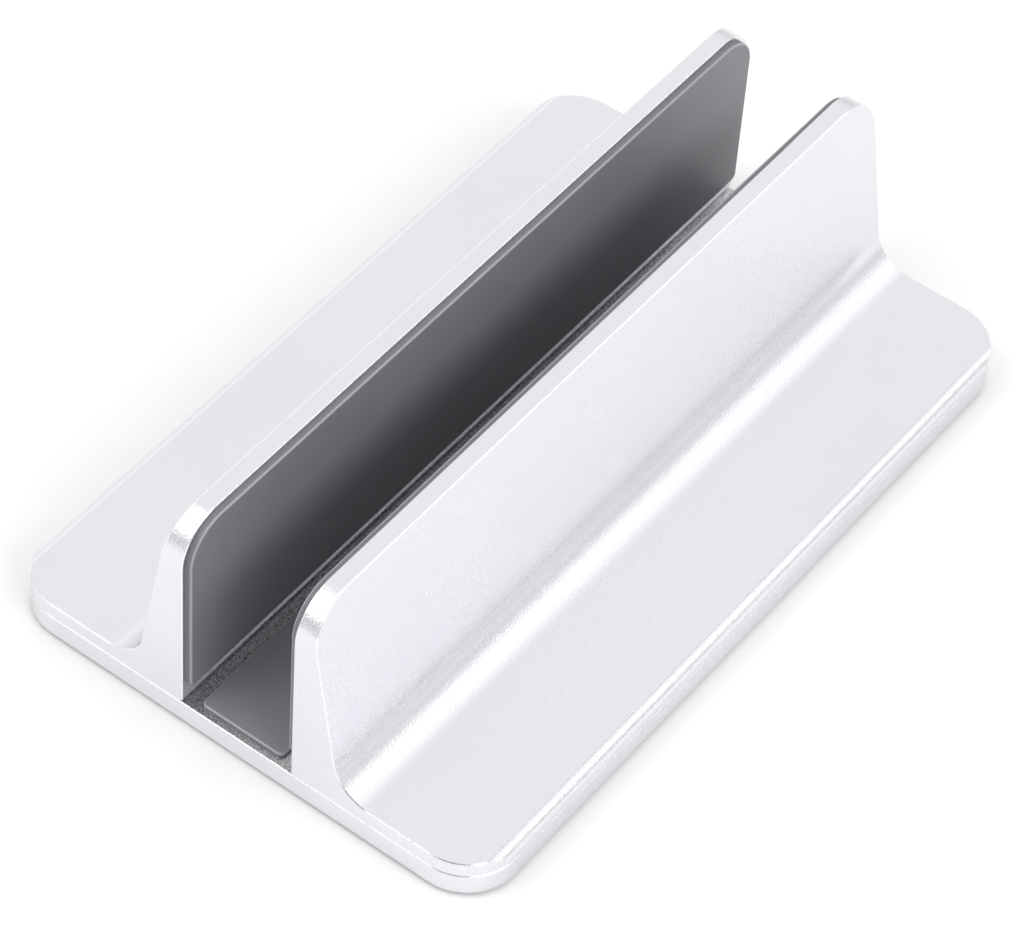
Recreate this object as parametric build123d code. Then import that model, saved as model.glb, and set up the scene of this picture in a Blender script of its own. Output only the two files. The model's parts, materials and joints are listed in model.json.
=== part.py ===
from build123d import *
import os
from math import radians, tan

# Vertical laptop stand: a base plate that carries two upright brackets, one fixed and one sliding.
# X runs across the slot, Y along it and Z up. The origin is under the middle of the stand.

# Base plate
plate_length = 171.0
plate_width = 110.0
plate_thickness = 5.0
plate_corner_radius = 11.0
plate_edge_chamfer = 0.2

# Feet, half sunk in the plate's underside
foot_diameter = 14.0
foot_height = 1.0               # that shows below the plate
foot_recess_depth = 0.8
foot_margin = 15.0              # from the plate's edges to a foot's middle
foot_edge_radius = 0.4
foot_clearance = 0.1

# Brackets
slot_width = 25.2               # metal to metal
wall_height = 46.6              # above the plate
wall_top_thickness = 3.6
wall_draft = 9.6                # degrees, on the outer face
wall_corner_radius = 9.5        # at the ends of the wall's top
wall_heel_radius = 1.0          # under the inner face
root_radius = 8.0               # from the wall to the flange
flange_thickness = 3.5
flange_edge_radius = 2.0
bracket_edge_chamfer = 0.2
smooth_angle = 20.0             # degrees; faces that meet at less have no edge to break

# Soft lining
pad_thickness = 1.35
pad_inset = 0.95                # from the wall's outline
pad_floor_gap = 4.5             # from the plate to the wall pads
pad_heel_radius = 1.5
floor_pad_width = 19.0
floor_pad_thickness = 1.0
floor_pad_end_inset = 1.5
floor_pad_corner_radius = 1.2
pad_edge_radius = 0.35

# Screws that hold the brackets from below
screw_diameter = 4.0
screw_engagement = 8.0          # length in the bracket
screw_tip_chamfer = 0.5
screw_head_diameter = 7.6
screw_head_height = 2.2
screw_head_round = 1.5
screw_socket_width = 2.5        # across the flats
screw_socket_depth = 1.3
screw_recess = 0.4              # from the plate's underside to the head
screw_spacing = 112.0           # along the slot
screw_wall_offset = 6.2         # from the inner face to a screw's middle
thread_clearance = 0.05
screw_clearance = 0.25
hole_end_gap = 1.0
washer_diameter = 9.0
washer_thickness = 0.8

# Travel of the sliding bracket, outwards from the place where it is flush with the plate
slide_out = 12.0
slide_stop_gap = 0.3            # left between its wall and the floor pad
slide_in = slot_width / 2 - floor_pad_width / 2 - slide_stop_gap

# Levels and places
plate_bottom = foot_height
plate_top = plate_bottom + plate_thickness
flange_top = plate_top + flange_thickness
wall_top = plate_top + wall_height
inner_face = slot_width / 2
wall_top_outer = inner_face + wall_top_thickness
wall_root = wall_top_outer + (wall_height - flange_thickness) * tan(radians(wall_draft))
root_end = wall_root + root_radius * tan(radians(90 - wall_draft) / 2)
flange_edge = plate_width / 2
screw_x = inner_face + screw_wall_offset
screw_ys = (-screw_spacing / 2, screw_spacing / 2)
head_bottom = plate_bottom + screw_recess
head_top = head_bottom + screw_head_height
washer_top = head_top + washer_thickness
foot_x = plate_width / 2 - foot_margin
foot_y = plate_length / 2 - foot_margin


def post(x, y, radius, low, high):
    return Pos(x, y, low) * extrude(Circle(radius), high - low)


def slot_cut(y, width, low, high):
    # A slot across the plate, as long as the sliding bracket's travel
    travel = slide_in + slide_out
    middle = screw_x + (slide_out - slide_in) / 2
    return Pos(middle, y, low) * extrude(SlotCenterToCenter(travel, width), high - low)


def plan_block(low, high, edge):
    # Rounded oblong as large as the plate, with its top and bottom edges broken
    outline = RectangleRounded(plate_width, plate_length, plate_corner_radius)
    block = Pos(0, 0, low) * extrude(outline, high - low)
    levels = block.edges().group_by(Axis.Z)
    return chamfer(levels[0] + levels[-1], edge)


def side_outline(inset, low, high, top_radius, low_radius):
    # The wall's outline seen along X, drawn on the YZ plane
    half = plate_length / 2 - inset
    corners = [(-half, low), (half, low), (half, high), (-half, high)]
    face = make_face(Polyline(*corners, close=True))
    by_height = face.vertices().group_by(Axis.Y)
    face = fillet(by_height[-1], top_radius)
    if low_radius:
        low_corners = face.vertices().group_by(Axis.Y)[0]
        face = fillet(low_corners, low_radius)
    return Plane.YZ * face


def make_base_plate():
    plate = plan_block(plate_bottom, plate_top, plate_edge_chamfer)
    hole_radius = screw_diameter / 2 + screw_clearance
    head_radius = screw_head_diameter / 2 + screw_clearance
    washer_room = washer_diameter + 2 * screw_clearance
    for y in screw_ys:
        plate -= post(-screw_x, y, hole_radius, plate_bottom, plate_top)
        plate -= post(-screw_x, y, head_radius, plate_bottom, head_top)
        plate -= slot_cut(y, 2 * hole_radius, plate_bottom, plate_top)
        plate -= slot_cut(y, washer_room, plate_bottom, washer_top)
    recess_radius = foot_diameter / 2 + foot_clearance
    for x in (-foot_x, foot_x):
        for y in (-foot_y, foot_y):
            plate -= post(x, y, recess_radius, plate_bottom, plate_bottom + foot_recess_depth)
    return plate


def bracket_section():
    # Section of the right-hand bracket: a tapered wall on a thin flange
    points = [
        (inner_face, plate_top),
        (inner_face, wall_top),
        (wall_top_outer, wall_top),
        (wall_root, flange_top),
        (flange_edge, flange_top),
        (flange_edge, plate_top),
    ]
    radii = {0: wall_heel_radius, 3: root_radius, 4: flange_edge_radius}
    face = make_face(Polyline(*points, close=True))
    for corner, radius in radii.items():
        vertex = face.vertices().sort_by_distance(points[corner])[0]
        face = fillet(vertex, radius)
    return Plane.XZ * face


def sharp_edges(solid, low):
    # Edges above a level where two faces meet at an angle
    faces_at = {}
    for face in solid.faces():
        for edge in face.edges():
            middle = tuple(round(value, 3) for value in edge @ 0.5)
            faces_at.setdefault(middle, []).append((edge, face))
    found = ShapeList()
    for middle, ((edge, face), (_, neighbour)) in faces_at.items():
        turn = face.normal_at(middle).get_angle(neighbour.normal_at(middle))
        if middle[2] > low and turn > smooth_angle:
            found.append(edge)
    return found


def bracket_plan():
    # The plate's plan, with a plain block for the wall between the flange's rounded corners
    wall_side = (root_end + flange_edge - plate_corner_radius) / 2
    corner = (Align.MIN, Align.CENTER, Align.MIN)
    wall_block = Pos(0, 0, plate_top) * Box(wall_side, plate_length, wall_height, align=corner)
    return plan_block(plate_top, flange_top, bracket_edge_chamfer) + wall_block


def make_bracket():
    # Right-hand bracket: a bar with the wall's top corners rounded, then the flange's
    bar = extrude(bracket_section(), plate_length / 2, both=True)
    bar &= extrude(side_outline(0, 0, wall_top, wall_corner_radius, 0), plate_width)
    bar = chamfer(sharp_edges(bar, plate_top), bracket_edge_chamfer)
    bracket = bar & bracket_plan()
    hole_top = plate_top + screw_engagement + hole_end_gap
    for y in screw_ys:
        bracket -= post(screw_x, y, screw_diameter / 2 + thread_clearance, plate_top, hole_top)
    return bracket


def make_wall_pad():
    # Lining of the right-hand wall's inner face
    low = plate_top + pad_floor_gap
    high = wall_top - pad_inset
    outline = side_outline(pad_inset, low, high, wall_corner_radius - pad_inset, pad_heel_radius)
    pad = Pos(inner_face - pad_thickness, 0, 0) * extrude(outline, pad_thickness)
    return fillet(pad.edges().group_by(Axis.X)[0], pad_edge_radius)


def make_floor_pad():
    length = plate_length - 2 * floor_pad_end_inset
    outline = RectangleRounded(floor_pad_width, length, floor_pad_corner_radius)
    pad = Pos(0, 0, plate_top) * extrude(outline, floor_pad_thickness)
    return fillet(pad.edges().group_by(Axis.Z)[-1], pad_edge_radius)


def make_foot(x, y):
    foot = post(x, y, foot_diameter / 2, 0, foot_height + foot_recess_depth)
    return fillet(foot.edges().group_by(Axis.Z)[0], foot_edge_radius)


def make_screw(x, y):
    # Button head with a hexagon socket, head down
    head = post(x, y, screw_head_diameter / 2, head_bottom, head_top)
    head = fillet(head.edges().group_by(Axis.Z)[0], screw_head_round)
    socket = RegularPolygon(screw_socket_width / 2, 6, major_radius=False)
    head -= Pos(x, y, head_bottom) * extrude(socket, screw_socket_depth)
    shank = post(x, y, screw_diameter / 2, head_top, plate_top + screw_engagement)
    shank = chamfer(shank.edges().group_by(Axis.Z)[-1], screw_tip_chamfer)
    return head + shank


def make_washer(x, y):
    ring = post(x, y, washer_diameter / 2, head_top, washer_top)
    return ring - post(x, y, screw_diameter / 2 + screw_clearance, head_top, washer_top)


def make_all():
    bracket = make_bracket()
    wall_pad = make_wall_pad()
    nodes = {
        "base_plate": make_base_plate(),
        "fixed_bracket": mirror(bracket, Plane.YZ),
        "sliding_bracket": bracket,
        "fixed_wall_pad": mirror(wall_pad, Plane.YZ),
        "sliding_wall_pad": wall_pad,
        "floor_pad": make_floor_pad(),
        "fixed_screws": Compound(children=[make_screw(-screw_x, y) for y in screw_ys]),
        "clamp_screws": Compound(children=[make_screw(screw_x, y) for y in screw_ys]),
        "clamp_washers": Compound(children=[make_washer(screw_x, y) for y in screw_ys]),
    }
    for end, y in (("front", -foot_y), ("rear", foot_y)):
        for hand, x in (("left", -foot_x), ("right", foot_x)):
            nodes[f"foot_{end}_{hand}"] = make_foot(x, y)
    return nodes


os.makedirs("parts", exist_ok=True)
for name, shape in make_all().items():
    export_step(shape, f"parts/{name}.step")
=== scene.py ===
import json
from math import cos, pi, radians, sin, tan

import bmesh
import bpy
from mathutils import Matrix, Vector


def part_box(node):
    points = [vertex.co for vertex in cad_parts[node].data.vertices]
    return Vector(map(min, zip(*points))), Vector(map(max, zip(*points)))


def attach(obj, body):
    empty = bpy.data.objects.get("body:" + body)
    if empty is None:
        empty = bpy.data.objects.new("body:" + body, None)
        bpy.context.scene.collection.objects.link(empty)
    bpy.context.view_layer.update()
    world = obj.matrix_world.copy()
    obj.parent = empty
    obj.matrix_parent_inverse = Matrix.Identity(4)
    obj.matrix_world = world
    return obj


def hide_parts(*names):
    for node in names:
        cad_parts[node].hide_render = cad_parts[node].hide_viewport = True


# Vertical laptop stand: blasted aluminium plate and brackets, silicone linings, rubber feet, steel screws.
# X runs across the slot, Y along it, Z up, all in metres.
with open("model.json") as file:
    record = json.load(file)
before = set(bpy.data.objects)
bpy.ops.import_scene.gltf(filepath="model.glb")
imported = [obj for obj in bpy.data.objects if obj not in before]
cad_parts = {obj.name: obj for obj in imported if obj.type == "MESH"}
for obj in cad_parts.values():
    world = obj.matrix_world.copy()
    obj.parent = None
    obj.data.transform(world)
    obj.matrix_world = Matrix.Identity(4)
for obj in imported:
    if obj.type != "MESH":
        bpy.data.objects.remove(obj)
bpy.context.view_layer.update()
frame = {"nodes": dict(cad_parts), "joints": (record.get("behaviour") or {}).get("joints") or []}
scene = bpy.context.scene
mm = 0.001
print("frame loaded:", len(frame["nodes"]), "nodes")


# Shader wiring

class Wire:
    # A node's output, with the sums and products that the finishes use
    def __init__(self, wiring, socket):
        self.wiring = wiring
        self.socket = socket

    def reckon(self, operation, first, second):
        return self.wiring.node("ShaderNodeMath", {"operation": operation}, {0: first, 1: second})

    def __add__(self, other):
        return self.reckon("ADD", self, other)

    def __radd__(self, other):
        return self.reckon("ADD", other, self)

    def __sub__(self, other):
        return self.reckon("SUBTRACT", self, other)

    def __rsub__(self, other):
        return self.reckon("SUBTRACT", other, self)

    def __mul__(self, other):
        return self.reckon("MULTIPLY", self, other)

    def __rmul__(self, other):
        return self.reckon("MULTIPLY", other, self)

    def __pow__(self, other):
        return self.reckon("POWER", self, other)

    def __abs__(self):
        return self.reckon("ABSOLUTE", self, 0)


class Wiring:
    # The nodes of one material, or of the sky
    def __init__(self, owner, outputKind, placeName):
        owner.use_nodes = True
        self.owner = owner
        self.tree = owner.node_tree
        self.tree.nodes.clear()
        self.output = self.tree.nodes.new(outputKind)
        self.place = self.node("ShaderNodeTexCoord", {}, {}, placeName)

    def node(self, kind, settings, sockets, output=0):
        made = self.tree.nodes.new(kind)
        for name, value in settings.items():
            setattr(made, name, value)
        for key, value in sockets.items():
            if isinstance(value, Wire):
                self.tree.links.new(value.socket, made.inputs[key])
            else:
                made.inputs[key].default_value = value
        return Wire(self, made.outputs[output])

    def noise(self, scale, detail, roughness=0.5):
        sockets = {"Vector": self.place, "Scale": scale, "Detail": detail, "Roughness": roughness}
        return self.node("ShaderNodeTexNoise", {}, sockets)

    def dents(self, scale):
        return self.node("ShaderNodeTexVoronoi", {}, {"Vector": self.place, "Scale": scale})

    def between(self, share, low, high):
        sockets = {0: share, 6: (*low, 1), 7: (*high, 1)}  # a Mix node's factor and its two colours
        return self.node("ShaderNodeMix", {"data_type": "RGBA"}, sockets, 2)

    def mixed(self, first, second, share):
        return first * (1 - share) + second * share

    def swing(self, pattern, amount):
        return (pattern - 0.5) * amount  # patterns run from 0 to 1

    def ease(self, value, low, high):
        sockets = {"Value": value, "From Min": low, "From Max": high}
        return self.node("ShaderNodeMapRange", {"interpolation_type": "SMOOTHSTEP"}, sockets)

    def relief(self, height, depth):
        return self.node("ShaderNodeBump", {}, {"Strength": 1, "Distance": depth, "Height": height})

    def shine(self, kind, sockets):
        shader = self.node(kind, {}, sockets)
        self.tree.links.new(shader.socket, self.output.inputs["Surface"])
        return self.owner


class Finish(Wiring):
    def __init__(self, name):
        super().__init__(bpy.data.materials.new(name), "ShaderNodeOutputMaterial", "Object")

    def surface(self, sockets):
        return self.shine("ShaderNodeBsdfPrincipled", sockets)


# Finishes

blastedAluminium = {
    "shade": (0.766, 0.765, 0.797),
    "light": (0.835, 0.835, 0.866),
    "roughness": 0.18,
    "grain": 2700,              # blasting grains in a metre
    "grainDepth": 0.08 * mm,
    "grainShare": 0.3,          # of the colour, the rest is clouds
    "dents": 2160,
    "dentShare": 0.3,           # of the relief, the rest is grain
    "speckle": 0.18,            # spread of roughness from grain to grain
    "speckleRange": (0.36, 0.64),
    "clouds": 28,
    "cloudShine": 0.08,         # spread of roughness from cloud to cloud
}


def makeAluminium(values):
    finish = Finish("blastedAluminium")
    clouds = finish.noise(values["clouds"], detail=4, roughness=0.55)
    grain = finish.noise(values["grain"], detail=3, roughness=0.6)
    dents = finish.dents(values["dents"])
    tone = finish.mixed(clouds, grain, values["grainShare"])
    height = finish.mixed(grain, dents, values["dentShare"])
    shine = finish.swing(clouds, values["cloudShine"])
    speckle = finish.swing(finish.ease(grain, *values["speckleRange"]), values["speckle"])
    return finish.surface({
        "Base Color": finish.between(tone, values["shade"], values["light"]),
        "Metallic": 1,
        "Roughness": values["roughness"] + shine + speckle,
        "Normal": finish.relief(height, values["grainDepth"]),
    })


# Painted highlight: the edges' colour is lighter than the blasted faces', so bright lines show along them
brokenEdge = {
    "shade": (0.82, 0.82, 0.84),
    "light": (0.98, 0.98, 0.99),
    "roughness": 0.22,
    "unevenness": 0.25,         # spread of roughness
    "grain": 1500,
    "grainDepth": 0.03 * mm,
    "brightRange": (0.4, 0.62),
}


def makePaintedEdgeHighlight(values):
    # Edges painted lighter than the faces beside them, a painted highlight along the edges, speckled and
    # with a roughness of their own
    finish = Finish("brokenEdge")
    edgeSpeckle = finish.noise(values["grain"], detail=4, roughness=0.6)
    bright = finish.ease(edgeSpeckle, *values["brightRange"])
    return finish.surface({
        "Base Color": finish.between(bright, values["shade"], values["light"]),
        "Metallic": 1,
        "Roughness": values["roughness"] + finish.swing(edgeSpeckle, values["unevenness"]),
        "Normal": finish.relief(edgeSpeckle, values["grainDepth"]),
    })


# Painted shade: the plate's top is darker than the blasted aluminium, so the slot's floor looks shaded
sawnTop = {
    "shade": (0.30, 0.30, 0.31),
    "light": (0.92, 0.92, 0.95),
    "roughness": 0.30,
    "unevenness": 0.3,
    "grain": 4600,
    "grainDepth": 0.05 * mm,
    "speckRange": (0.38, 0.68),
}


def makeShadedPlateTop(values):
    # The plate's top: coarse speckle on a base painted darker than the blasted faces, a painted shade for
    # the floor of the slot
    finish = Finish("sawnTop")
    grain = finish.noise(values["grain"], detail=3, roughness=0.7)
    specks = finish.ease(grain, *values["speckRange"])
    return finish.surface({
        "Base Color": finish.between(specks, values["shade"], values["light"]),
        "Metallic": 1,
        "Roughness": values["roughness"] + finish.swing(grain, values["unevenness"]),
        "Normal": finish.relief(grain, values["grainDepth"]),
    })


silicone = {
    # alike on all its faces
    "grain": 3800,
    "grainShare": 0.2,
    "grainShine": 0.08,
    "cloudShine": 0.12,
    "specular": 0.62,
}
siliconeFace = {
    "shade": (0.173, 0.179, 0.194),
    "light": (0.211, 0.219, 0.232),
    "roughness": 0.46,
    "grainDepth": 0.006 * mm,
    "clouds": 45,
}
# Painted highlight: the rims' colour is lighter than the lining face's; their lower roughness is real
siliconeRim = {
    "shade": (0.247, 0.256, 0.271),
    "light": (0.334, 0.341, 0.358),
    "roughness": 0.34,
    "grainDepth": 0.006 * mm,
    "clouds": 120,
}
# Painted shade: the linings' narrow side faces are darker than their main face
siliconeEdge = {
    "shade": (0.129, 0.134, 0.146),
    "light": (0.164, 0.170, 0.181),
    "roughness": 0.52,
    "grainDepth": 0.008 * mm,
    "clouds": 90,
}


def makeSilicone(name, values):
    finish = Finish(name)
    clouds = finish.noise(values["clouds"], detail=5, roughness=0.6)
    grain = finish.noise(silicone["grain"], detail=2)
    tone = finish.mixed(clouds, grain, silicone["grainShare"])
    shine = finish.swing(clouds, silicone["cloudShine"]) + finish.swing(grain, silicone["grainShine"])
    return finish.surface({
        "Base Color": finish.between(tone, values["shade"], values["light"]),
        "Roughness": values["roughness"] + shine,
        "Specular IOR Level": silicone["specular"],
        "Normal": finish.relief(grain, values["grainDepth"]),
    })


footRubber = {
    "shade": (0.030, 0.031, 0.033),
    "light": (0.055, 0.056, 0.059),
    "roughness": 0.62,
    "grain": 2400,
    "grainDepth": 0.02 * mm,
    "dust": 160,
    "dustShine": 0.2,
}


def makeFootRubber(values):
    finish = Finish("footRubber")
    dust = finish.noise(values["dust"], detail=6, roughness=0.65)
    grain = finish.noise(values["grain"], detail=3, roughness=0.55)
    return finish.surface({
        "Base Color": finish.between(dust, values["shade"], values["light"]),
        "Roughness": values["roughness"] + finish.swing(dust, values["dustShine"]),
        "Normal": finish.relief(grain, values["grainDepth"]),
    })


screwSteel = {
    "shade": (0.52, 0.52, 0.54),
    "light": (0.68, 0.68, 0.70),
    "roughness": 0.26,
    "turning": 26000,           # turning marks, as a wave number
    "turningDepth": 0.003 * mm,
    "stain": 700,
    "stainShine": 0.2,
}


def makeScrewSteel(values, screwPlace):
    # Turning marks run round each screw: the four stand alike about the middle of the stand
    finish = Finish("screwSteel")
    across = finish.node("ShaderNodeSeparateXYZ", {}, {0: finish.place}, "X")
    along = finish.node("ShaderNodeSeparateXYZ", {}, {0: finish.place}, "Y")
    fromAxis = ((abs(across) - screwPlace.x) ** 2 + (abs(along) - screwPlace.y) ** 2) ** 0.5
    rings = finish.node("ShaderNodeMath", {"operation": "SINE"}, {0: fromAxis * values["turning"]})
    stain = finish.noise(values["stain"], detail=4, roughness=0.6)
    return finish.surface({
        "Base Color": finish.between(stain, values["shade"], values["light"]),
        "Metallic": 1,
        "Roughness": values["roughness"] + finish.swing(stain, values["stainShine"]),
        "Normal": finish.relief(rings, values["turningDepth"]),
    })


# Modelling steps

tiny = 0.01 * mm            # places closer than this are the same
overshoot = 1 * mm          # of a cutter past the face that it opens
sharp = 45                  # degrees that an edge turns by, at least
facing = 0.9                # least part of a normal along the axis that its face looks along
sideways = 0.5              # most of it, for a face that looks across that axis
besideFinish = -1           # a bevel takes the finish of the faces beside it
paintedHighlightFinish = 1              # place of the finish painted lighter, a painted highlight for edges and rims, among a piece's finishes
paintedShadeFinish = 2              # and of the one painted darker, a painted shade for faces unlike the rest


def near(value, place):
    return abs(value - place) < tiny


def takeUp(piece):
    bpy.ops.object.select_all(action="DESELECT")
    piece.select_set(True)
    bpy.context.view_layer.objects.active = piece


def openMesh(piece):
    takeUp(piece)
    bpy.ops.object.mode_set(mode="EDIT")
    bpy.ops.mesh.select_all(action="DESELECT")


def closeMesh():
    bpy.ops.object.mode_set(mode="OBJECT")


def nameNew(name, finishes):
    piece = bpy.context.active_object
    piece.name = name
    piece.data.name = name
    bpy.ops.object.transform_apply(location=True, rotation=True, scale=True)
    for finish in finishes:
        piece.data.materials.append(finish)
    return piece


def addBlock(name, low, high, *finishes):
    bpy.ops.object.select_all(action="DESELECT")
    low, high = Vector(low), Vector(high)
    bpy.ops.mesh.primitive_cube_add(size=1, location=(low + high) / 2, scale=high - low)
    return nameNew(name, finishes)


def addPost(name, place, radius, low, high, sides, *finishes):
    bpy.ops.object.select_all(action="DESELECT")
    middle = (place[0], place[1], (low + high) / 2)
    bpy.ops.mesh.primitive_cylinder_add(vertices=sides, radius=radius, depth=high - low, location=middle)
    return nameNew(name, finishes)


def pickEdges(piece, wanted):
    # Edges that lie where wanted says, at both ends and in the middle
    bpy.ops.mesh.select_mode(type="EDGE")
    bpy.ops.mesh.select_all(action="DESELECT")
    mesh = bmesh.from_edit_mesh(piece.data)
    for edge in mesh.edges:
        start, end = (vert.co for vert in edge.verts)
        edge.select_set(all(wanted(point) for point in (start, end, (start + end) / 2)))
    bmesh.update_edit_mesh(piece.data)


def pickSharp(piece, angle, wanted):
    # Edges that turn by more than an angle, with their middle where wanted says
    bpy.ops.mesh.select_mode(type="EDGE")
    bpy.ops.mesh.select_all(action="DESELECT")
    mesh = bmesh.from_edit_mesh(piece.data)
    for edge in mesh.edges:
        middle = (edge.verts[0].co + edge.verts[1].co) / 2
        edge.select_set(edge.calc_face_angle(0) > radians(angle) and wanted(middle))
    bmesh.update_edit_mesh(piece.data)


def pickFaces(piece, wanted):
    # Faces by their middle and normal
    bpy.ops.mesh.select_mode(type="FACE")
    bpy.ops.mesh.select_all(action="DESELECT")
    mesh = bmesh.from_edit_mesh(piece.data)
    for face in mesh.faces:
        face.select_set(wanted(face.calc_center_median(), face.normal))
    bmesh.update_edit_mesh(piece.data)


def roundPicked(radius, steps, finish=besideFinish):
    bpy.ops.mesh.bevel(offset=radius, segments=steps, profile=0.5, affect="EDGES",
                       clamp_overlap=False, material=finish)


def paintPicked(piece, finish):
    piece.active_material_index = finish
    bpy.ops.object.material_slot_assign()


def pushOut(move):
    bpy.ops.mesh.extrude_region_move(TRANSFORM_OT_translate={"value": move})


def sliceThrough(place, normal, cutOff=False):
    bpy.ops.mesh.select_all(action="SELECT")
    bpy.ops.mesh.bisect(plane_co=place, plane_no=normal, use_fill=cutOff,
                        clear_outer=cutOff, threshold=tiny / 100)


def joinFlat(angle=0.5):
    bpy.ops.mesh.select_all(action="SELECT")
    bpy.ops.mesh.dissolve_limited(angle_limit=radians(angle))


def cutAway(piece, cutter):
    takeUp(piece)
    cut = piece.modifiers.new("cut", "BOOLEAN")
    cut.operation = "DIFFERENCE"
    cut.solver = "EXACT"
    cut.object = cutter
    bpy.ops.object.modifier_apply(modifier=cut.name)
    bpy.data.objects.remove(cutter)


def smoothOver(piece, angle):
    takeUp(piece)
    bpy.ops.object.shade_smooth_by_angle(angle=radians(angle))
    even = piece.modifiers.new("evenNormals", "WEIGHTED_NORMAL")
    even.keep_sharp = True
    bpy.ops.object.modifier_apply(modifier=even.name)


def copyOf(piece, name):
    twin = piece.copy()
    twin.data = piece.data.copy()
    twin.name = name
    twin.data.name = name
    scene.collection.objects.link(twin)
    return twin


def mirroredCopy(piece, name):
    twin = copyOf(piece, name)
    openMesh(twin)
    bpy.ops.mesh.select_all(action="SELECT")
    bpy.ops.transform.mirror(constraint_axis=(True, False, False), center_override=(0, 0, 0))
    bpy.ops.mesh.normals_make_consistent(inside=False)
    closeMesh()
    return twin


def fit(piece, body, node):
    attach(piece, body)
    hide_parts(node)
    print("made", piece.name, "on", body, "with", len(piece.data.polygons), "faces")


# Places read from the frame

plateLow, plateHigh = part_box("base_plate")
bracketLow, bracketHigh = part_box("sliding_bracket")
screwLow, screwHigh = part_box("clamp_screws")
washerLow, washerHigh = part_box("clamp_washers")
slideRange = frame["joints"][0]["range_m"]
screwRadius = (screwHigh.x - screwLow.x) / 2
screwPlace = Vector(((screwLow.x + screwHigh.x) / 2, screwHigh.y - screwRadius))
fixedSpots = [(-screwPlace.x, -screwPlace.y), (-screwPlace.x, screwPlace.y)]
clampSpots = [(screwPlace.x, -screwPlace.y), (screwPlace.x, screwPlace.y)]

aluminium = makeAluminium(blastedAluminium)
# The edge finish carries a painted highlight, the plate's top a painted shade
edgeShine = makePaintedEdgeHighlight(brokenEdge)
shadedTop = makeShadedPlateTop(sawnTop)
lining = makeSilicone("siliconeFace", siliconeFace)
# Lining rims carry a painted highlight, lining side faces a painted shade
liningRimHighlight = makeSilicone("siliconeRim", siliconeRim)
liningSideShade = makeSilicone("siliconeEdge", siliconeEdge)
rubber = makeFootRubber(footRubber)
steel = makeScrewSteel(screwSteel, screwPlace)
print("finishes made")


# Base plate

plateShape = {
    "corner": 11 * mm,          # radius in plan
    "cornerSteps": 28,
    "edge": 0.2 * mm,
    "edgeSteps": 1,
    "screwHole": 2.25 * mm,     # radius
    "headPocket": 4.05 * mm,
    "washerPocket": 4.75 * mm,
    "footPocket": 7.1 * mm,
    "footPocketDepth": 0.8 * mm,
    "holeSides": 64,
    "slotSteps": 20,
    "slotRound": 0.9999,        # of the half width, so that the rounds at an end keep apart
    "smooth": 30,               # degrees
}


def makeSlot(name, y, radius, low, high):
    # Cutter that gives the clamp screws their travel
    reach = Vector((slideRange[0] - radius, slideRange[1] + radius)) + Vector((screwPlace.x, screwPlace.x))
    slot = addBlock(name, (reach[0], y - radius, low), (reach[1], y + radius, high))
    openMesh(slot)
    pickSharp(slot, sharp, lambda p: near(p.z, (low + high) / 2))
    roundPicked(radius * plateShape["slotRound"], plateShape["slotSteps"])
    closeMesh()
    return slot


def makePlate(values):
    plate = addBlock("basePlate", plateLow, plateHigh, aluminium, edgeShine, shadedTop)
    openMesh(plate)
    pickSharp(plate, sharp, lambda p: near(p.z, (plateLow.z + plateHigh.z) / 2))
    roundPicked(values["corner"], values["cornerSteps"])
    pickSharp(plate, sharp, lambda p: near(p.z, plateLow.z) or near(p.z, plateHigh.z))
    # the edges take the finish with the painted highlight
    roundPicked(values["edge"], values["edgeSteps"], paintedHighlightFinish)
    # the top faces take the finish with the painted shade
    pickFaces(plate, lambda p, n: n.z > facing)
    paintPicked(plate, paintedShadeFinish)
    closeMesh()
    below = plateLow.z - overshoot
    above = plateHigh.z + overshoot
    sides = values["holeSides"]
    for spot in fixedSpots:
        cutAway(plate, addPost("hole", spot, values["screwHole"], below, above, sides))
        cutAway(plate, addPost("hole", spot, values["headPocket"], below, washerLow.z, sides))
    for spot in clampSpots:
        cutAway(plate, makeSlot("slot", spot[1], values["screwHole"], below, above))
        cutAway(plate, makeSlot("slot", spot[1], values["washerPocket"], below, washerHigh.z))
    for node in footNodes:
        spot = footSpot(node)
        top = plateLow.z + values["footPocketDepth"]
        cutAway(plate, addPost("pocket", spot, values["footPocket"], below, top, sides))
    smoothOver(plate, values["smooth"])
    fit(plate, "base", "base_plate")


# Feet

footShape = {
    "sides": 72,
    "edge": 0.4 * mm,
    "edgeSteps": 5,
    "smooth": 30,
}
footNodes = sorted(name for name in frame["nodes"] if name.startswith("foot_"))


def footSpot(node):
    low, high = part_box(node)
    middle = (low + high) / 2
    return middle.x, middle.y


def makeFeet(values):
    low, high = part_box(footNodes[0])
    start = footSpot(footNodes[0])
    first = addPost("foot", start, (high.x - low.x) / 2, low.z, high.z, values["sides"], rubber)
    openMesh(first)
    pickSharp(first, sharp, lambda p: near(p.z, low.z))
    roundPicked(values["edge"], values["edgeSteps"])
    closeMesh()
    for node in footNodes:
        spot = footSpot(node)
        foot = copyOf(first, node + "_rubber")
        openMesh(foot)
        bpy.ops.mesh.select_all(action="SELECT")
        bpy.ops.transform.translate(value=(spot[0] - start[0], spot[1] - start[1], 0))
        closeMesh()
        smoothOver(foot, values["smooth"])
        fit(foot, "base", node)
    bpy.data.objects.remove(first)


# Brackets

bracketShape = {
    "wallTop": 3.6 * mm,        # thickness of the wall at its top
    "draft": 9.6,               # degrees, on the outer face
    "flange": 3.5 * mm,
    "root": 8 * mm,             # radius from the wall to the flange
    "rootSteps": 24,
    "flangeEdge": 2 * mm,
    "flangeEdgeSteps": 16,
    "heel": 1 * mm,
    "heelSteps": 6,
    "wallCorner": 9.5 * mm,     # radius at the ends of the wall's top
    "wallCornerSteps": 24,
    "edge": 0.2 * mm,
    "edgeSteps": 1,
    "screwBore": 2.05 * mm,
    "screwBoreDepth": 9 * mm,
    "screwBoreSides": 48,
    "smooth": 30,
}


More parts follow.
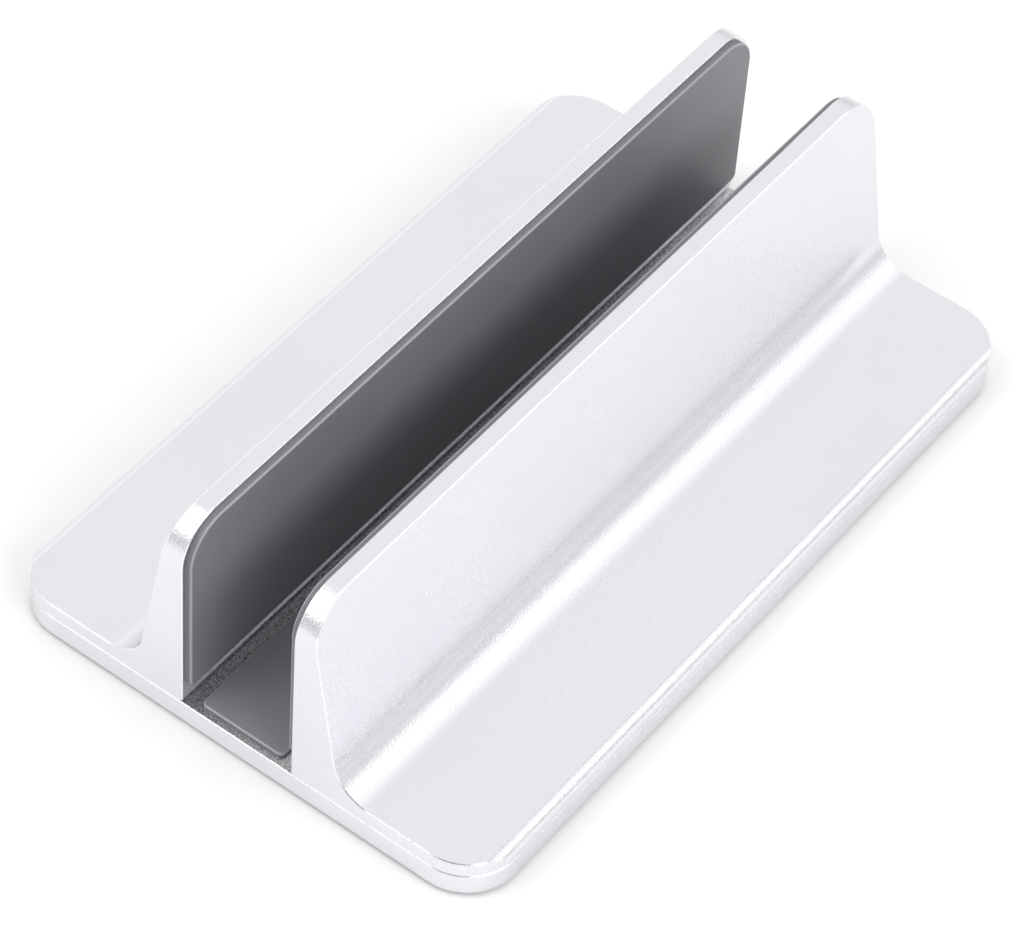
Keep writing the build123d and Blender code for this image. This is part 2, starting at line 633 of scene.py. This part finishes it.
def makeBracket(values):
    low, high = bracketLow, bracketHigh
    flangeTop = low.z + values["flange"]
    wallTopOuter = low.x + values["wallTop"]
    wallRoot = wallTopOuter + (high.z - flangeTop) * tan(radians(values["draft"]))
    bracket = addBlock("slidingBracket", low, (high.x, high.y, flangeTop), aluminium, edgeShine)
    openMesh(bracket)
    sliceThrough((wallRoot, 0, 0), (1, 0, 0))
    pickFaces(bracket, lambda p, n: n.z > facing and p.x < wallRoot)
    pushOut((0, 0, high.z - flangeTop))
    pickEdges(bracket, lambda p: near(p.z, high.z) and near(p.x, wallRoot))
    bpy.ops.transform.translate(value=(wallTopOuter - wallRoot, 0, 0))  # draws the wall in to its taper
    joinFlat()
    pickEdges(bracket, lambda p: near(p.x, wallRoot) and near(p.z, flangeTop))
    roundPicked(values["root"] * tan(radians(90 - values["draft"]) / 2), values["rootSteps"])
    pickEdges(bracket, lambda p: near(p.x, high.x) and near(p.z, flangeTop))
    roundPicked(values["flangeEdge"], values["flangeEdgeSteps"])
    pickEdges(bracket, lambda p: near(p.x, low.x) and near(p.z, low.z))
    roundPicked(values["heel"], values["heelSteps"])
    pickEdges(bracket, lambda p: near(abs(p.y), high.y) and near(p.z, high.z))
    roundPicked(values["wallCorner"], values["wallCornerSteps"])
    trimCorners(bracket)
    joinFlat()
    roundStart = high.x - values["flangeEdge"] + tiny
    # the sharp edges take the finish with the painted highlight
    pickSharp(bracket, values["smooth"], lambda p: p.x < roundStart or near(p.z, low.z))
    roundPicked(values["edge"], values["edgeSteps"], paintedHighlightFinish)
    closeMesh()
    below = low.z - overshoot
    boreTop = low.z + values["screwBoreDepth"]
    sides = values["screwBoreSides"]
    for spot in clampSpots:
        cutAway(bracket, addPost("bore", spot, values["screwBore"], below, boreTop, sides))
    return bracket


def trimCorners(bracket):
    # Plan corners, cut facet by facet along the plate's own corner
    radius = plateShape["corner"]
    steps = plateShape["cornerSteps"]
    for end in (-1, 1):
        centre = Vector((bracketHigh.x - radius, end * (bracketHigh.y - radius), 0))
        for step in range(steps):
            turn = (step + 0.5) * pi / 2 / steps
            outward = Vector((cos(turn), end * sin(turn), 0))
            place = centre + outward * radius * cos(pi / 4 / steps)
            sliceThrough(place, outward, cutOff=True)


def makeBrackets(values):
    sliding = makeBracket(values)
    fixed = mirroredCopy(sliding, "fixedBracket")
    for piece, body, node in ((sliding, "slider", "sliding_bracket"), (fixed, "base", "fixed_bracket")):
        smoothOver(piece, values["smooth"])
        fit(piece, body, node)


# Linings

liningShape = {
    "topCorner": 8.55 * mm,
    "topCornerSteps": 20,
    "lowCorner": 1.5 * mm,
    "lowCornerSteps": 6,
    "floorCorner": 1.2 * mm,
    "rim": 0.35 * mm,
    "rimSteps": 4,
    "smooth": 40,
}


def makeWallLinings(values):
    low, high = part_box("sliding_wall_pad")
    sliding = addBlock("slidingWallLining", low, high, lining, liningRimHighlight, liningSideShade)
    openMesh(sliding)
    pickEdges(sliding, lambda p: near(abs(p.y), high.y) and near(p.z, high.z))
    roundPicked(values["topCorner"], values["topCornerSteps"])
    pickEdges(sliding, lambda p: near(abs(p.y), high.y) and near(p.z, low.z))
    roundPicked(values["lowCorner"], values["lowCornerSteps"])
    # the side faces take the finish with the painted shade
    pickFaces(sliding, lambda p, n: abs(n.x) < sideways)
    paintPicked(sliding, paintedShadeFinish)
    # the rim of the main face takes the finish with the painted highlight
    pickSharp(sliding, sharp, lambda p: near(p.x, low.x))
    roundPicked(values["rim"], values["rimSteps"], paintedHighlightFinish)
    closeMesh()
    fixed = mirroredCopy(sliding, "fixedWallLining")
    for piece, body, node in ((sliding, "slider", "sliding_wall_pad"), (fixed, "base", "fixed_wall_pad")):
        smoothOver(piece, values["smooth"])
        fit(piece, body, node)


def makeFloorLining(values):
    low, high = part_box("floor_pad")
    floorLining = addBlock("floorLining", low, high, lining, liningRimHighlight, liningSideShade)
    openMesh(floorLining)
    pickSharp(floorLining, sharp, lambda p: near(p.z, (low.z + high.z) / 2))
    roundPicked(values["floorCorner"], values["lowCornerSteps"])
    # the side faces take the finish with the painted shade
    pickFaces(floorLining, lambda p, n: abs(n.z) < sideways)
    paintPicked(floorLining, paintedShadeFinish)
    # the rim of the top face takes the finish with the painted highlight
    pickSharp(floorLining, sharp, lambda p: near(p.z, high.z))
    roundPicked(values["rim"], values["rimSteps"], paintedHighlightFinish)
    closeMesh()
    smoothOver(floorLining, values["smooth"])
    fit(floorLining, "base", "floor_pad")


# Screws and washers

screwShape = {
    "sides": 48,
    "headHeight": 2.2 * mm,
    "headRound": 1.5 * mm,
    "headSteps": 8,
    "shank": 2 * mm,            # radius
    "tip": 0.5 * mm,
    "tipSteps": 1,
    "socket": 2.5 * mm,         # across the flats
    "socketDepth": 1.3 * mm,
    "socketSides": 6,
    "washerHole": 2.25 * mm,
    "washerEdge": 0.12 * mm,
    "washerEdgeSteps": 2,
    "smooth": 35,
}


def makeScrew(values, spot):
    low, high = screwLow.z, screwHigh.z
    headTop = low + values["headHeight"]
    screw = addPost("screw", spot, screwRadius, low, headTop, values["sides"], steel)
    openMesh(screw)
    pickSharp(screw, sharp, lambda p: near(p.z, low))
    roundPicked(values["headRound"], values["headSteps"])
    pickFaces(screw, lambda p, n: n.z > facing and near(p.z, headTop))
    bpy.ops.mesh.inset(thickness=screwRadius - values["shank"])
    pushOut((0, 0, high - headTop))
    pickSharp(screw, sharp, lambda p: near(p.z, high))
    roundPicked(values["tip"], values["tipSteps"])
    closeMesh()
    sides = values["socketSides"]
    socketRadius = values["socket"] / 2 / cos(pi / sides)
    socketTop = low + values["socketDepth"]
    cutAway(screw, addPost("socket", spot, socketRadius, low - overshoot, socketTop, sides))
    return screw


def makeWasher(values, spot):
    radius = (washerHigh.x - washerLow.x) / 2
    washer = addPost("washer", spot, radius, washerLow.z, washerHigh.z, values["sides"], steel)
    openMesh(washer)
    pickFaces(washer, lambda p, n: abs(n.z) > facing)
    bpy.ops.mesh.inset(thickness=radius - values["washerHole"])
    bpy.ops.mesh.bridge_edge_loops()
    pickSharp(washer, sharp, lambda p: True)
    roundPicked(values["washerEdge"], values["washerEdgeSteps"])
    closeMesh()
    return washer


def makeFasteners(values):
    groups = (
        ("fixedScrews", makeScrew, fixedSpots, "base", "fixed_screws"),
        ("clampScrews", makeScrew, clampSpots, "slider", "clamp_screws"),
        ("clampWashers", makeWasher, clampSpots, "slider", "clamp_washers"),
    )
    for name, make, spots, body, node in groups:
        made = [make(values, spot) for spot in spots]
        takeUp(made[0])
        made[1].select_set(True)
        bpy.ops.object.join()
        made[0].name = name
        made[0].data.name = name
        smoothOver(made[0], values["smooth"])
        fit(made[0], body, node)


makePlate(plateShape)
makeFeet(footShape)
makeBrackets(bracketShape)
makeWallLinings(liningShape)
makeFloorLining(liningShape)
makeFasteners(screwShape)
print("pieces made")


# Floor, lights and camera

studio = {
    "floorSize": 14,
    "floorColour": (0.79, 0.79, 0.79, 1),
    "floorRoughness": 0.7,
    "floorSpecular": 0.2,
    "mottle": 3,                # uneven shine of the floor
    "mottleShine": 0.1,
    "horizon": 0.76,            # brightness of the tent, low down and overhead
    "overhead": 1.00,
    "rise": (0.05, 0.55),       # heights between which it brightens, 1 being straight up
    "reach": 3.0,               # from the stand to the soft boxes
}
tentPatches = {
    # azimuth from +X, elevation, inner and outer angle, change of brightness
    "glow": (60, 50, 5, 22, 0.30),
    "spot": (41, 34, 3, 13, 0.40),
    "frontGlow": (244, 33, 4, 16, 0.25),
    "backGlow": (146, 8, 8, 30, 0.22),
    "cameraSide": (-77, 28, 14, 42, -0.52),
}
softBoxes = {
    # azimuth from +X, elevation, width and height in reaches, radiance above the tent's
    "sideBox": (-8, 40.5, 0.70, 0.32, 4.6),
    "frontBox": (226, 51, 0.70, 0.66, 1.9),
}
photoCamera = {
    "place": (312.8 * mm, -470.1 * mm, 652.5 * mm),
    "azimuth": 33.862,
    "elevation": 48.881,
    "roll": 4.65,
    "lens": 158.75,
    "sensor": 36,
}


def towards(azimuth, elevation):
    turn, lift = radians(azimuth), radians(elevation)
    return Vector((cos(turn) * cos(lift), sin(turn) * cos(lift), sin(lift)))


def makeFloor(values):
    bpy.ops.object.select_all(action="DESELECT")
    bpy.ops.mesh.primitive_plane_add(size=values["floorSize"])
    floor = nameNew("floor", [])
    paint = Finish("floorPaint")
    mottle = paint.noise(values["mottle"], detail=3)
    floor.data.materials.append(paint.surface({
        "Base Color": values["floorColour"],
        "Roughness": values["floorRoughness"] + paint.swing(mottle, values["mottleShine"]),
        "Specular IOR Level": values["floorSpecular"],
    }))


def makeTent(values, patches):
    tent = Wiring(bpy.data.worlds.new("lightTent"), "ShaderNodeOutputWorld", "Generated")
    height = tent.node("ShaderNodeSeparateXYZ", {}, {0: tent.place}, "Z")
    gain = values["overhead"] - values["horizon"]
    strength = values["horizon"] + gain * tent.ease(height, *values["rise"])
    for azimuth, elevation, inner, outer, change in patches.values():
        way = {0: tent.place, 1: towards(azimuth, elevation)}
        closeness = tent.node("ShaderNodeVectorMath", {"operation": "DOT_PRODUCT"}, way, "Value")
        patch = tent.ease(closeness, cos(radians(outer)), cos(radians(inner)))
        strength = strength * (1 + change * patch)
    scene.world = tent.shine("ShaderNodeBackground", {"Color": (1, 1, 1, 1), "Strength": strength})


def makeSoftBox(name, azimuth, elevation, width, height, radiance):
    lamp = bpy.data.lights.new(name, "AREA")
    lamp.shape = "RECTANGLE"
    lamp.size = width * studio["reach"]
    lamp.size_y = height * studio["reach"]
    lamp.energy = radiance * 4 * lamp.size * lamp.size_y  # watts that give this radiance
    box = bpy.data.objects.new(name, lamp)
    scene.collection.objects.link(box)
    away = towards(azimuth, elevation)
    box.location = away * studio["reach"]
    box.rotation_euler = away.to_track_quat("Z", "Y").to_euler()


def makeCamera(values):
    azimuth, elevation, roll = (radians(values[key]) for key in ("azimuth", "elevation", "roll"))
    back = Vector((sin(azimuth) * cos(elevation), -cos(azimuth) * cos(elevation), sin(elevation)))
    right = Vector((cos(azimuth), sin(azimuth), 0))
    turned = Matrix.Rotation(roll, 3, back) @ right
    lens = bpy.data.cameras.new("photoCamera")
    lens.lens = values["lens"]
    lens.sensor_width = values["sensor"]
    lens.sensor_fit = "HORIZONTAL"
    camera = bpy.data.objects.new("photoCamera", lens)
    scene.collection.objects.link(camera)
    axes = Matrix((turned, back.cross(turned), back)).transposed()
    camera.matrix_world = Matrix.Translation(values["place"]) @ axes.to_4x4()
    scene.camera = camera


makeFloor(studio)
makeTent(studio, tentPatches)
for name, box in softBoxes.items():
    makeSoftBox(name, *box)
makeCamera(photoCamera)
scene.view_settings.view_transform = "Standard"
print("floor, lights and camera made")
